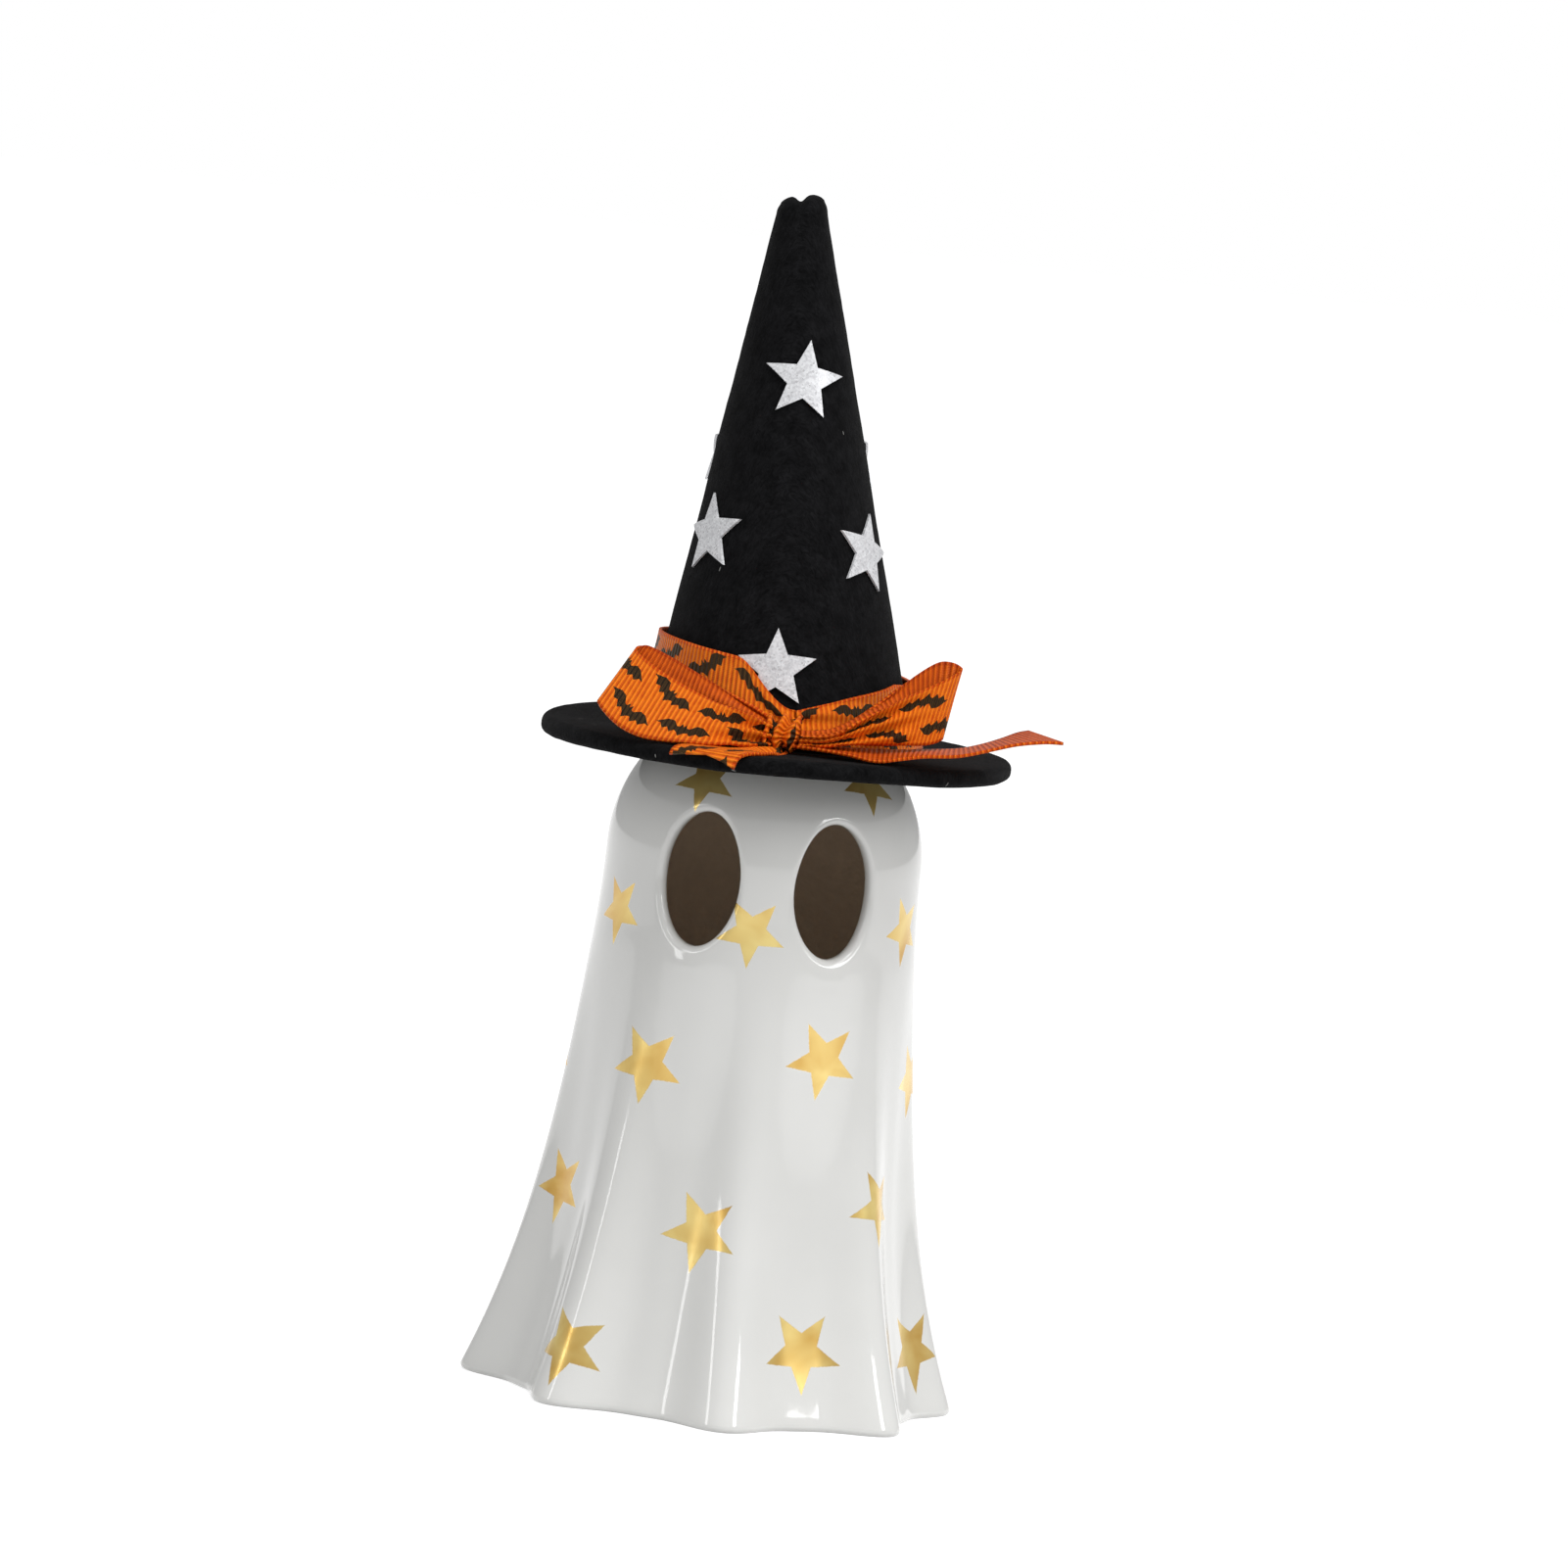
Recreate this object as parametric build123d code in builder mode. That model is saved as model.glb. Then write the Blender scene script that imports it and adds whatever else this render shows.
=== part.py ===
from build123d import *
import os
from math import atan, cos, hypot, pi, radians, sin, sqrt, tan

# A ceramic ghost with a felt witch hat that lifts off its head.
# The origin is the centre of the hem, the face looks along -Y, and +Z is up.
# All sizes are in millimetres, and turns are in degrees, positive towards +X from the face.

# Ghost shell, slip cast and glazed
ghost_height = 89.7
head_radius = 20.2
neck_gain = 0.5
fold_start = 58.0
hem_radius = 32.0
fold_depth = 4.6
fold_count = 8
fold_turn = 2.6
fold_sharpness = 1.86
fold_onset = 1.15
shell_wall = 3.0
hem_round = 1.0

# Eye holes
eye_width = 10.5
eye_height = 17.0
eye_level = 67.7
eye_turn = 25.9
eye_round = 1.0

# Felt hat
seat_gap = 0.2
brim_radius = 30.2
brim_thickness = 2.3
brim_round = 0.9
brim_opening = 14.5
cone_radius = 17.4
cone_height = 69.0
cone_wall = 1.8
tip_radius = 2.9
tip_round = 2.4
tip_lean = 4.3
notch_radius = 1.0
notch_depth = 0.6

# Glitter stars on the hat: turn, height up the cone and spin of each
star_radius = 5.2
star_waist = 2.3
star_film = 0.3
star_glue = 0.02
star_low_row = 10.0
star_back_row = 19.0
star_middle_row = 25.3
star_side_row = 36.0
star_top_row = 46.0
star_stray = 0.8
star_places = [
    (8, star_top_row, -8),
    (-171, star_top_row, 6),
    (-56, star_middle_row + star_stray, 9),
    (54, star_middle_row - star_stray, -19),
    (-140, star_middle_row, -9),
    (146, star_middle_row, 5),
    (-4, star_low_row, 0),
    (-121, star_side_row, 8),
    (120, star_side_row, -6),
    (-177, star_back_row, -3),
]

# Ribbon and bow
ribbon_width = 10.0
ribbon_thickness = 0.45
band_level = 0.7
band_roll = 5.6
gather_left = 6.5
gather_right = 12.0
knot_offset = -0.3
knot_width = 3.2
knot_depth = 3.2
knot_height = 4.4
knot_round = 1.0
loop_pinch = 0.6
loop_foot = 1.3
loop_belly = 1.8
left_loop_out = 23.5
left_loop_forward = 0.5
left_loop_lift = 2.2
left_loop_stand = Vector(5.5, 4.55, 7.0)
right_loop_out = 19.6
right_loop_back = 0.2
right_loop_lift = 2.0
right_loop_stand = Vector(2.0, 2.8, 8.8)
tail_gap = 0.1
tail_hang = 1.6
left_tail_turn = -19.0
left_tail_bend = 1.3
right_tail_turn = 0.5
right_tail_flat = 12.0
right_tail_reach = 35.2
right_tail_rise = 4.6

# Places that follow from those sizes
head_line = ghost_height - head_radius
neck_radius = head_radius + neck_gain
neck_slope = 2 * neck_gain / (head_line - fold_start)
brim_middle = head_line + sqrt((head_radius + seat_gap) ** 2 - brim_opening**2)
brim_top = brim_middle + brim_thickness / 2
cone_slope = (cone_radius - tip_radius) / cone_height
cone_angle = atan(cone_slope)
lean = atan(tip_lean / cone_height)
hat_frame = Plane(origin=(0, 0, brim_top), x_dir=(cos(lean), 0, sin(lean)), z_dir=(-sin(lean), 0, cos(lean)))
hat_side = Plane(origin=hat_frame.origin, x_dir=hat_frame.x_dir, z_dir=-hat_frame.y_dir)
hat_axis = Axis(hat_frame.origin, hat_frame.z_dir)


def fold_points(level, inset):
    """Points of the skirt's outline at a height: narrow crests and broad troughs that deepen to the hem."""
    below = fold_start - level
    share = below / fold_start
    flare = hem_radius - neck_radius - neck_slope * fold_start
    crest = neck_radius + neck_slope * below + flare * share**3 - inset
    depth = fold_depth * share**fold_onset
    steps = 8 * fold_count
    points = []
    for step in range(steps):
        turn = 2 * pi * step / steps
        swing = fold_count * (turn + pi / 2 - radians(fold_turn)) / 2
        radius = crest - depth * (1 - (cos(swing) ** 2) ** fold_sharpness)
        points.append((radius * cos(turn), radius * sin(turn)))
    return points


def ghost_form(inset, bottom):
    """The ghost's solid form, a given distance inside its outer face: a round head on a pleated skirt."""
    section_count = 6
    with BuildPart() as form:
        with BuildSketch(Plane.XZ):
            with BuildLine():
                neck = Line((0, fold_start), (neck_radius - inset, fold_start))
                TangentArc((head_radius - inset, head_line), neck @ 1, tangent=(0, -1))
                dome = CenterArc((0, head_line), head_radius - inset, 0, 90)
                Line(dome @ 1, neck @ 0)
            make_face()
        revolve(axis=Axis.Z)
        with BuildSketch(Plane.XY.offset(fold_start)):
            Circle(neck_radius - inset)
        for section in range(1, section_count + 1):
            level = fold_start - (fold_start - bottom) * section / section_count
            with BuildSketch(Plane.XY.offset(level)):
                with BuildLine():
                    Spline(*fold_points(level, inset), periodic=True)
                make_face()
        loft()
    return form.part


def on_eye_rim(edge):
    """Whether an edge runs round the outer mouth of an eye hole."""
    middle = edge @ 0.5
    outside = hypot(middle.X, middle.Y) > head_radius - shell_wall / 2
    return outside and abs(middle.Z - eye_level) < eye_height / 2 + eye_round


def cone_width(height):
    """The outer radius of the felt cone at a height up its own axis."""
    return cone_radius - cone_slope * height


def cone_layer(low, high, inner, outer):
    """Half the section of a layer that lies on the cone, from one distance off its face to another."""
    out = 1 / cos(cone_angle)
    with BuildSketch(hat_side) as layer:
        Polygon(
            (cone_width(low) + inner * out, low),
            (cone_width(low) + outer * out, low),
            (cone_width(high) + outer * out, high),
            (cone_width(high) + inner * out, high),
        )
    return layer.sketch


def teardrop(plane, length, inset):
    """The edge of a ribbon loop seen end on, pinched at the knot and round at the fold."""
    pinch = loop_pinch - inset
    belly = loop_belly - inset
    widest = 0.55 * length
    with BuildSketch(plane) as drop:
        with BuildLine():
            side = Spline((0, -pinch), (widest, -belly), (length - inset, 0), (widest, belly), (0, pinch))
            Line(side @ 1, side @ 0)
        make_face()
    return drop.sketch


# Ghost body: a hollow shell, open at the hem, with two eye holes cut through it
outer_form = ghost_form(0, 0)
inner_form = ghost_form(shell_wall, -shell_wall)
with BuildPart() as ghost_body:
    add(outer_form)
    add(inner_form, mode=Mode.SUBTRACT)
    for side in (-1, 1):
        turn = radians(side * eye_turn)
        eye_out = (sin(turn), -cos(turn), 0)
        eye_plane = Plane((0, 0, eye_level), x_dir=(cos(turn), sin(turn), 0), z_dir=eye_out)
        with BuildSketch(eye_plane):
            Ellipse(eye_width / 2, eye_height / 2)
        extrude(amount=hem_radius, mode=Mode.SUBTRACT)
    fillet(ghost_body.edges().filter_by(GeomType.BSPLINE).filter_by(on_eye_rim), eye_round)
    hem_edges = ghost_body.edges().filter_by_position(Axis.Z, -hem_round / 2, hem_round / 2)
    fillet(hem_edges.sort_by(SortBy.LENGTH)[-1], hem_round)

# Hat brim: a disc of thick felt whose opening is pressed to the shape of the head
with BuildPart() as hat_brim:
    with BuildSketch(Plane.XY.offset(brim_top)):
        Circle(brim_radius)
        Circle(brim_opening, mode=Mode.SUBTRACT)
    extrude(amount=-brim_thickness)
    fillet(hat_brim.edges().filter_by(GeomType.CIRCLE).group_by(SortBy.RADIUS)[-1], brim_round)
    with Locations((0, 0, head_line)):
        Sphere(head_radius + seat_gap, mode=Mode.SUBTRACT)

# Hat cone: rolled felt that leans to one side, with a dented tip
with BuildPart() as hat_cone:
    inner_top = cone_height - 2 * cone_wall
    inner_wall = cone_wall / cos(cone_angle)
    with BuildSketch(hat_side) as cone_section:
        Polygon(
            (cone_width(-tip_lean) - inner_wall, -tip_lean),
            (cone_width(-tip_lean), -tip_lean),
            (tip_radius, cone_height),
            (0, cone_height),
            (0, inner_top),
            (cone_width(inner_top) - inner_wall, inner_top),
        )
        fillet(cone_section.vertices().group_by(Axis.Y)[-1].sort_by(Axis.X)[-1], tip_round)
    revolve(axis=hat_axis)
    split(bisect_by=Plane.XY.offset(brim_top), keep=Keep.TOP)
    with BuildSketch(hat_side):
        with Locations((0, cone_height + notch_radius - notch_depth)):
            Circle(notch_radius)
    extrude(amount=tip_radius, both=True, mode=Mode.SUBTRACT)

# Hat stars: thin glitter film, each bent to the cone
star_top = star_glue + star_film
hat_stars = []
for turn_degrees, height, spin in star_places:
    turn = radians(turn_degrees)
    radius = cone_width(height)
    foot = hat_frame.from_local_coords((radius * sin(turn), -radius * cos(turn), height))
    across = hat_frame.from_local_coords((cos(turn), sin(turn), 0)) - hat_frame.origin
    tilt = (cos(cone_angle) * sin(turn), -cos(cone_angle) * cos(turn), sin(cone_angle))
    outward = hat_frame.from_local_coords(tilt) - hat_frame.origin
    points = []
    for corner in range(10):
        reach = star_waist if corner % 2 else star_radius
        points.append((reach * sin(pi * corner / 5), reach * cos(pi * corner / 5)))
    with BuildPart() as hat_star:
        film_layer = cone_layer(height - 2 * star_radius, height + 2 * star_radius, star_glue, star_top)
        revolve(film_layer, axis=hat_axis)
        with BuildSketch(Plane(foot, x_dir=across, z_dir=outward)):
            with Locations(Rotation(0, 0, spin)):
                Polygon(*points)
        extrude(amount=star_radius / 2, both=True, mode=Mode.INTERSECT)
    hat_stars.append(hat_star.part)

# Ribbon band: wound round the cone, higher on the left, and drawn down to the knot at the front
band_inner = star_top
band_outer = band_inner + ribbon_thickness
band_fall = tan(radians(band_roll))
band_height = ribbon_width * cos(cone_angle)
band_plane = Plane((0, 0, brim_top + band_level), z_dir=(band_fall, 0, 1))
band_top = brim_top + band_level + band_height / cos(radians(band_roll))
knot_top = brim_top + knot_height - knot_round / 2
with BuildPart() as ribbon_band:
    revolve(cone_layer(-tip_lean, band_level + 2 * ribbon_width, band_inner, band_outer), axis=hat_axis)
    split(bisect_by=band_plane, keep=Keep.TOP)
    split(bisect_by=band_plane.offset(band_height), keep=Keep.BOTTOM)
    split(bisect_by=Plane.XY.offset(brim_top), keep=Keep.TOP)
    with BuildSketch(Plane.XZ):
        gather_start = knot_offset - gather_left
        gather_end = knot_offset + gather_right
        Polygon(
            (knot_offset - knot_width / 2, knot_top),
            (knot_offset + knot_width / 2, knot_top),
            (gather_end, band_top - band_fall * gather_end),
            (gather_end, band_top + ribbon_width),
            (gather_start, band_top + ribbon_width),
            (gather_start, band_top - band_fall * gather_start),
        )
    extrude(amount=2 * cone_radius, mode=Mode.SUBTRACT)

# Bow knot: a tight turn of ribbon that stands on the brim against the band
knot_front = cone_width(0) + band_outer / cos(cone_angle) + knot_depth
knot_centre = Vector(knot_offset, -knot_front + knot_depth / 2, brim_top + knot_height / 2)
with BuildPart() as bow_knot:
    with Locations(knot_centre + Vector(0, knot_depth / 4, 0)):
        Box(knot_width, 1.5 * knot_depth, knot_height)
    fillet(bow_knot.edges().filter_by(Axis.Y) + bow_knot.edges().group_by(Axis.Y)[0], knot_round)
    cone_and_band = cone_layer(-tip_lean, cone_height / 2, -cone_radius / 2, band_outer)
    revolve(cone_and_band, axis=hat_axis, mode=Mode.SUBTRACT)


def bow_loop(reach, stand):
    """A loop of ribbon from the knot out to a fold, whose width stands along the given direction."""
    low = Vector(knot_centre.X, knot_centre.Y, brim_top + loop_foot)
    high = Vector(knot_centre.X, knot_centre.Y, knot_top)
    fold_low = low + reach
    fold_high = fold_low + stand.normalized() * ribbon_width
    with BuildPart() as loop:
        for inset, mode in ((0, Mode.ADD), (ribbon_thickness, Mode.SUBTRACT)):
            edges = []
            for near, fold in ((low, fold_low), (high, fold_high)):
                along = fold - near
                across = stand - along * (stand.dot(along) / along.dot(along))
                edge_plane = Plane(near, x_dir=along, z_dir=across)
                edges.append(teardrop(edge_plane, along.length, inset))
            loft(edges, mode=mode)
        add(bow_knot.part, mode=Mode.SUBTRACT)
        keep_side = Plane.YZ.offset(knot_centre.X)
        split(bisect_by=keep_side, keep=Keep.TOP if reach.X > 0 else Keep.BOTTOM)
    return loop


# Bow loops, left and right of the knot as seen from the front
left_loop_reach = Vector(-left_loop_out, -left_loop_forward, left_loop_lift)
bow_loop_left = bow_loop(left_loop_reach, left_loop_stand)
right_loop_reach = Vector(right_loop_out, right_loop_back, right_loop_lift)
bow_loop_right = bow_loop(right_loop_reach, right_loop_stand)

# Left tail: lies on the brim and hangs over its front edge
left_turn = radians(left_tail_turn)
left_out = Vector(sin(left_turn), -cos(left_turn), 0)
left_aside = Vector(-cos(left_turn), -sin(left_turn), 0)
tail_lift = tail_gap + ribbon_thickness / 2
with BuildPart() as bow_tail_left:
    with BuildSketch(Plane((0, 0, brim_top), x_dir=left_out, z_dir=left_aside)):
        with BuildLine():
            bend_start = brim_radius + tail_lift - left_tail_bend
            flat = Line((cone_radius, tail_lift), (bend_start, tail_lift))
            bend_end = (bend_start + left_tail_bend, tail_lift - left_tail_bend)
            bend = TangentArc(flat @ 1, bend_end, tangent=flat % 1)
            Line(bend @ 1, (bend_end[0], -tail_hang))
        trace(line_width=ribbon_thickness)
    extrude(amount=ribbon_width, both=True)
    with BuildSketch(Plane((0, 0, brim_top - brim_thickness), x_dir=left_out, z_dir=(0, 0, 1))):
        knot_along = (knot_centre - Vector(0, 0, knot_centre.Z)).dot(left_out)
        knot_aside = -(knot_centre - Vector(0, 0, knot_centre.Z)).dot(left_aside)
        Polygon(
            (knot_along - knot_depth / 3, knot_aside),
            (knot_along + knot_depth / 3, knot_aside),
            (brim_radius, ribbon_width / 2),
            (brim_radius + ribbon_width, ribbon_width / 2),
            (brim_radius + ribbon_width, -ribbon_width / 2),
            (brim_radius - ribbon_width / 2, -ribbon_width / 2),
        )
    extrude(amount=2 * brim_thickness, mode=Mode.INTERSECT)
    add(bow_knot.part, mode=Mode.SUBTRACT)

# Right tail: runs along the brim, then springs up and out past its edge
right_turn = radians(right_tail_turn)
right_out = Vector(cos(right_turn), sin(right_turn), 0)
right_back = Vector(-sin(right_turn), cos(right_turn), 0)
right_foot = Vector(knot_centre.X, knot_centre.Y - knot_depth / 4, brim_top)
with BuildPart() as bow_tail_right:
    with BuildSketch(Plane(right_foot, x_dir=right_out, z_dir=-right_back)):
        with BuildLine():
            flat = Line((0, tail_lift), (right_tail_flat, tail_lift))
            climb = 0.7 * right_tail_reach + 0.3 * right_tail_flat
            spring = TangentArc(flat @ 1, (climb, 0.7 * right_tail_rise), tangent=flat % 1)
            TangentArc(spring @ 1, (right_tail_reach, right_tail_rise), tangent=spring % 1)
        trace(line_width=ribbon_thickness)
    extrude(amount=ribbon_width, both=True)
    with BuildSketch(Plane(right_foot, x_dir=right_out, z_dir=(0, 0, 1))):
        Polygon(
            (0, knot_depth / 3),
            (0, -knot_depth / 3),
            (right_tail_flat, -ribbon_width / 2),
            (right_tail_reach - ribbon_width / 2, -ribbon_width / 2),
            (right_tail_reach, ribbon_width / 2),
            (right_tail_flat, ribbon_width / 2),
        )
    extrude(amount=2 * right_tail_rise, mode=Mode.INTERSECT)
    add(bow_knot.part, mode=Mode.SUBTRACT)

pieces = {
    "ghost_body": ghost_body.part,
    "hat_brim": hat_brim.part,
    "hat_cone": hat_cone.part,
    "ribbon_band": ribbon_band.part,
    "bow_knot": bow_knot.part,
    "bow_loop_left": bow_loop_left.part,
    "bow_loop_right": bow_loop_right.part,
    "bow_tail_left": bow_tail_left.part,
    "bow_tail_right": bow_tail_right.part,
}
for number, star in enumerate(hat_stars, start=1):
    pieces[f"hat_star_{number}"] = star
os.makedirs("parts", exist_ok=True)
for name, piece in pieces.items():
    piece.label = name
    export_step(piece, f"parts/{name}.step")
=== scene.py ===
from bisect import bisect_left
from math import atan2, cos, exp, hypot, pi, radians, sin, sqrt

import bmesh
import bpy
from mathutils import Matrix, Vector, noise


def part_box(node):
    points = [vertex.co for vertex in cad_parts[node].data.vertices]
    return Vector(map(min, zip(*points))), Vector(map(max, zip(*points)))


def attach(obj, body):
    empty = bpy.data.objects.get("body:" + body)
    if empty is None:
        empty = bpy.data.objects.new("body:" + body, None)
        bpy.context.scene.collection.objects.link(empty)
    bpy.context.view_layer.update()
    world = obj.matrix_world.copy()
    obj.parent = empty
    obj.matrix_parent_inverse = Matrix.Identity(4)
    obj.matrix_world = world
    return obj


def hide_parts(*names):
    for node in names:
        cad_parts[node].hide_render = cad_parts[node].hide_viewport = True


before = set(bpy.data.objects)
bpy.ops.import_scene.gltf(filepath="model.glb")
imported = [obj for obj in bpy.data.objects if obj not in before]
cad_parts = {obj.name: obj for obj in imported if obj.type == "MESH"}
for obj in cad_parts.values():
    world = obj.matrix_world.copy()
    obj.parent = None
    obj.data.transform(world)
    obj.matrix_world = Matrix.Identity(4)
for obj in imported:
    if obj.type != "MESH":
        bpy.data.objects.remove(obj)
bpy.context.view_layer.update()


# Ghost body. A hollow shell of slip-cast stoneware, open at the hem and left bare inside. Its
# bell is cast with eight pleats, and the eye holes are cut through the wall, wider inside, with
# rounded rims. It is glazed glossy white, and stars of gold lustre are fired onto the glaze.
head_radius = 0.0202
head_line = 0.0695
neck_gain = 0.0005
fold_start = 0.058
hem_radius = 0.032
hem_round = 0.001
shell_wall = 0.003
fold_depth = 0.0046
fold_count = 8
fold_turn = radians(2.6)
fold_sharpness = 1.86
fold_onset = 1.15
eye_half_width = 0.00525
eye_half_height = 0.0085
eye_level = 0.0677
eye_turn = radians(25.9)
eye_round = 0.001
eye_flare = 0.0012
glaze_run = 0.0007
dome_rings = 32
wall_rings = 72
hem_rings = 6
eye_rings = 5
eye_easings = 4
bell_columns = 288
glazed, bare = 0, 1
neck_radius = head_radius + neck_gain
neck_slope = 2 * neck_gain / (head_line - fold_start)
neck_bow = ((head_line - fold_start) ** 2 + neck_gain**2) / (2 * neck_gain)
skirt_flare = hem_radius - neck_radius - neck_slope * fold_start


def bell_radius(level, inset=0.0):
    """Radius of the bell at a height, before it is pleated, a given distance inside its face."""
    if level > head_line:
        return sqrt(max((head_radius - inset) ** 2 - (level - head_line) ** 2, 0.0))
    if level > fold_start:
        return head_radius + neck_bow - sqrt(neck_bow**2 - (head_line - level) ** 2) - inset
    below = fold_start - level
    return neck_radius + neck_slope * below + skirt_flare * (below / fold_start) ** 3 - inset


def pleat_depth(turn, level):
    """How far the pleats draw the skirt in, at a turn from the face and a height."""
    share = max(fold_start - level, 0.0) / fold_start
    swing = fold_count * (turn - fold_turn) / 2
    return fold_depth * share**fold_onset * (1 - (cos(swing) ** 2) ** fold_sharpness)


def bell_outline(inset, bottom):
    """Points of the bell's outline from its crown down to a height."""
    dome_radius = head_radius - inset
    points = []
    for step in range(dome_rings + 1):
        rise = pi / 2 * (1 - step / dome_rings)
        points.append((dome_radius * cos(rise), head_line + dome_radius * sin(rise)))
    for step in range(1, wall_rings + 1):
        level = head_line + (bottom - head_line) * step / wall_rings
        points.append((bell_radius(level, inset), level))
    return points


def quarter_turn(steps, first=1):
    """Angles that divide a quarter turn into equal steps, for a rounded edge."""
    return [pi / 2 * step / steps for step in range(first, steps + 1)]


def spin_outline(form, outline, columns):
    """Turns an outline of radius and height points about the vertical axis into a closed skin."""
    corners = [form.verts.new((radius, 0, level)) for radius, level in outline]
    line = [form.edges.new(pair) for pair in zip(corners, corners[1:])]
    bmesh.ops.spin(
        form, geom=corners + line, cent=(0, 0, 0), axis=(0, 0, 1), angle=2 * pi, steps=columns,
        use_merge=True,
    )
    bmesh.ops.remove_doubles(form, verts=form.verts, dist=1e-6)
    bmesh.ops.recalc_face_normals(form, faces=form.faces)


def draw_in(vert, share):
    """Moves a vertex to a share of its distance from the vertical axis."""
    vert.co.x *= share
    vert.co.y *= share


def make_piece(name, form, *finishes):
    """Makes a smooth-shaded object of a modelled form, with its finishes."""
    mesh = bpy.data.meshes.new(name)
    for face in form.faces:
        face.smooth = True
    form.to_mesh(mesh)
    form.free()
    for finish in finishes:
        mesh.materials.append(finish)
    piece = bpy.data.objects.new(name, mesh)
    bpy.context.scene.collection.objects.link(piece)
    return piece


bell = bmesh.new()
hem_outline = []
for roll in quarter_turn(hem_rings):
    level = hem_round * (1 - sin(roll))
    hem_outline.append((bell_radius(level) - hem_round * (1 - cos(roll)), level))
bell_section = bell_outline(0, hem_round) + hem_outline + bell_outline(shell_wall, 0)[::-1]
spin_outline(bell, bell_section, bell_columns)
for face in bell.faces:
    middle = face.calc_center_median()
    inside = hypot(middle.x, middle.y) < bell_radius(middle.z, shell_wall * 0.9)
    if inside and middle.z > hem_round / 2:
        face.material_index = bare
for vert in bell.verts:
    radius = hypot(vert.co.x, vert.co.y)
    if vert.co.z < fold_start and radius > 0:
        draw_in(vert, 1 - pleat_depth(atan2(vert.co.x, -vert.co.y), vert.co.z) / radius)


def verts_of(edges):
    """The vertices of some edges."""
    return {vert for edge in edges for vert in edge.verts}


def seat_on_rim(vert, across, out, was, grow, inset=0, depth=0):
    """Moves a vertex from one ellipse round an eye to another, each larger than the hole by was
    and by grow. It lands on a face of the wall, or at a depth below it."""
    upward = (vert.co.z - eye_level) / (eye_half_height + was)
    lean = atan2(upward, vert.co.dot(across) / (eye_half_width + was))
    aside = (eye_half_width + grow) * cos(lean)
    level = eye_level + (eye_half_height + grow) * sin(lean)
    reach = sqrt(bell_radius(level, inset) ** 2 - aside**2) - depth
    vert.co = across * aside + out * reach + Vector((0, 0, level))


# how much wider than the hole each ring of an eye's rim is, and how deep: the round, then glaze
rim_steps = []
for roll in quarter_turn(eye_rings):
    rim_steps.append((eye_round * (1 - sin(roll)), eye_round * (1 - cos(roll))))
rim_steps.append((0, eye_round + glaze_run))
for side in (-1, 1):
    eye_across = Vector((cos(side * eye_turn), sin(side * eye_turn), 0))
    eye_out = Vector((sin(side * eye_turn), -cos(side * eye_turn), 0))
    opening = []
    for face in bell.faces:
        middle = face.calc_center_median()
        grow = eye_flare if face.material_index == bare else eye_round
        across = middle.dot(eye_across) / (eye_half_width + grow)
        upward = (middle.z - eye_level) / (eye_half_height + grow)
        if middle.dot(eye_out) > 0 and hypot(across, upward) < 1:
            opening.append(face)
    bmesh.ops.delete(bell, geom=opening, context="FACES")
    cut = [edge for edge in bell.edges if edge.is_boundary]
    rim = [edge for edge in cut if edge.link_faces[0].material_index == glazed]
    inner_rim = [edge for edge in cut if edge.link_faces[0].material_index == bare]
    ring = verts_of(rim)
    for vert in ring:
        seat_on_rim(vert, eye_across, eye_out, eye_round, eye_round)
    for vert in verts_of(inner_rim):
        seat_on_rim(vert, eye_across, eye_out, eye_flare, eye_flare, inset=shell_wall)
    beside = {edge.other_vert(vert) for vert in ring for edge in vert.link_edges} - ring
    beyond = {edge.other_vert(vert) for vert in beside for edge in vert.link_edges} - ring
    around = list(beside | beyond)
    for easing in range(eye_easings):
        bmesh.ops.smooth_vert(
            bell, verts=around, factor=0.5, use_axis_x=True, use_axis_y=True, use_axis_z=True
        )
    for vert in around:
        draw_in(vert, bell_radius(vert.co.z) / hypot(vert.co.x, vert.co.y))
    was = eye_round
    for grow, depth in rim_steps:
        pulled = bmesh.ops.extrude_edge_only(bell, edges=rim)["geom"]
        lines = [part for part in pulled if isinstance(part, bmesh.types.BMEdge)]
        rim = [edge for edge in lines if edge.is_boundary]
        for vert in verts_of(rim):
            seat_on_rim(vert, eye_across, eye_out, was, grow, depth=depth)
        was = grow
    for face in bmesh.ops.bridge_loops(bell, edges=rim + inner_rim)["faces"]:
        face.material_index = bare
bmesh.ops.recalc_face_normals(bell, faces=bell.faces)

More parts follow.
